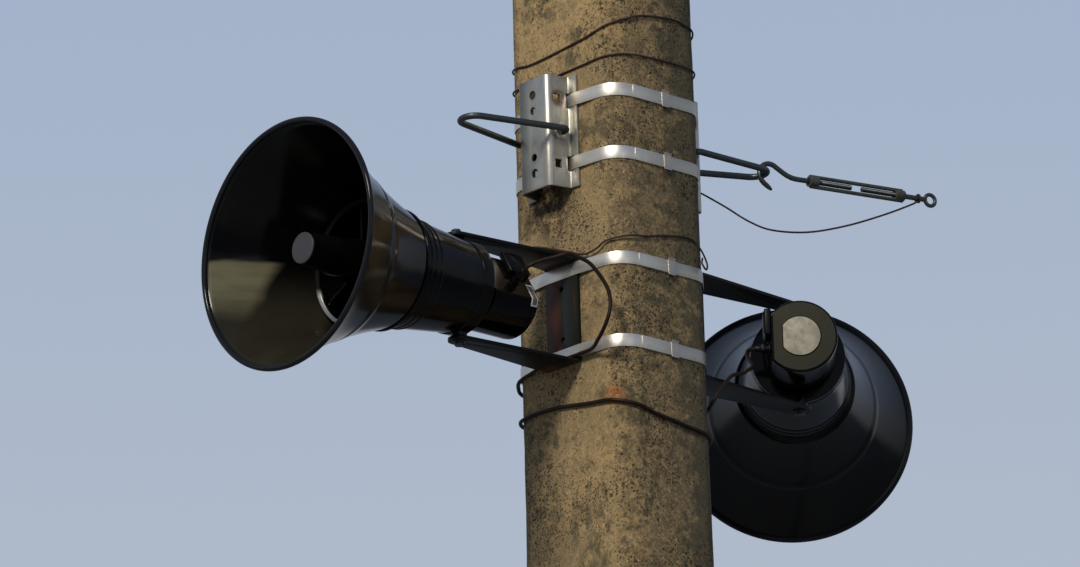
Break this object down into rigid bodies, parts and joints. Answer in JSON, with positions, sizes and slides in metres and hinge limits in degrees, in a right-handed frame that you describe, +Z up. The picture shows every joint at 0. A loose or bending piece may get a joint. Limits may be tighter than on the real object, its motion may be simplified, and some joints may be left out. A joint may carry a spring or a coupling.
{
  "type": "warning loudspeaker pole",
  "caption": "Cast concrete pole with round-cornered rectangular section, carrying re-entrant horn loudspeakers in yokes, banded pole brackets with bails and a turnbuckle.",
  "frame": {"origin": "centre of the pole's section at ground level", "axes": "+Z up along the pole, +X towards the right horn's yoke, -Y towards the camera's side"},
  "size_m": [1.3488, 0.5078, 8.5],
  "materials": {
    "concrete": "cast, pitted and stained",
    "stainless": "satin stainless strap",
    "galvanised_bracket": "pressed and hot-dip galvanised",
    "galvanised_rod": "dull weathered galvanising",
    "yoke_paint": "black paint with rust at the web",
    "horn_gloss": "glossy black enamel",
    "bare_ring": "bare turned ring",
    "plug_cap_metal": "dull bare disc",
    "driver_paint": "matte olive grey",
    "cover_plastic": "dark weathered moulding",
    "worn_steel": "dark zinc with rust",
    "lead_sheath": "black lead sheath",
    "iron_wire": "dark rusted wire"
  },
  "bodies": {
    "mast": {"pole": "concrete", "horn_band_lower": "stainless", "horn_band_upper": "stainless", "bracket_band_lower": "stainless", "bracket_band_upper": "stainless", "band_buckles": "stainless", "pole_bracket_left": "galvanised_bracket", "pole_bracket_right": "galvanised_bracket", "bail_left": "galvanised_rod", "bail_right": "galvanised_rod", "turnbuckle_hook": "galvanised_rod", "turnbuckle_body": "galvanised_rod", "turnbuckle_eye": "galvanised_rod", "yoke_left": "yoke_paint", "yoke_right": "yoke_paint", "left_lead": "lead_sheath", "right_lead": "lead_sheath", "wrap_lead": "lead_sheath", "tie_wire": "iron_wire", "bond_wire": "iron_wire", "upper_tie_wires": "iron_wire"},
    "left_horn": {"left_bell": "horn_gloss", "left_throat_ring": "bare_ring", "left_plug": "horn_gloss", "left_plug_cap": "plug_cap_metal", "left_horn_body": "horn_gloss", "left_driver": "driver_paint", "left_driver_plate": "driver_paint", "left_terminal_cover": "cover_plastic", "left_cable_gland": "cover_plastic", "left_pivot_bolts": "worn_steel", "left_lead_tail": "lead_sheath"},
    "right_horn": {"right_bell": "horn_gloss", "right_throat_ring": "bare_ring", "right_plug": "horn_gloss", "right_plug_cap": "plug_cap_metal", "right_horn_body": "horn_gloss", "right_driver": "driver_paint", "right_driver_plate": "driver_paint", "right_terminal_cover": "cover_plastic", "right_cable_gland": "cover_plastic", "right_pivot_bolts": "worn_steel", "right_lead_tail": "lead_sheath"}
  },
  "joints": [
    {"name": "left_horn_swing", "type": "hinge", "parent": "mast", "child": "left_horn", "pos_m": [-0.312, 0, 5.9], "axis": [0, 0, 1], "range_deg": [-90, 90]},
    {"name": "right_horn_swing", "type": "hinge", "parent": "mast", "child": "right_horn", "pos_m": [0.33, -0.06, 5.9], "axis": [0, 0, 1], "range_deg": [-138, 42]}
  ]
}
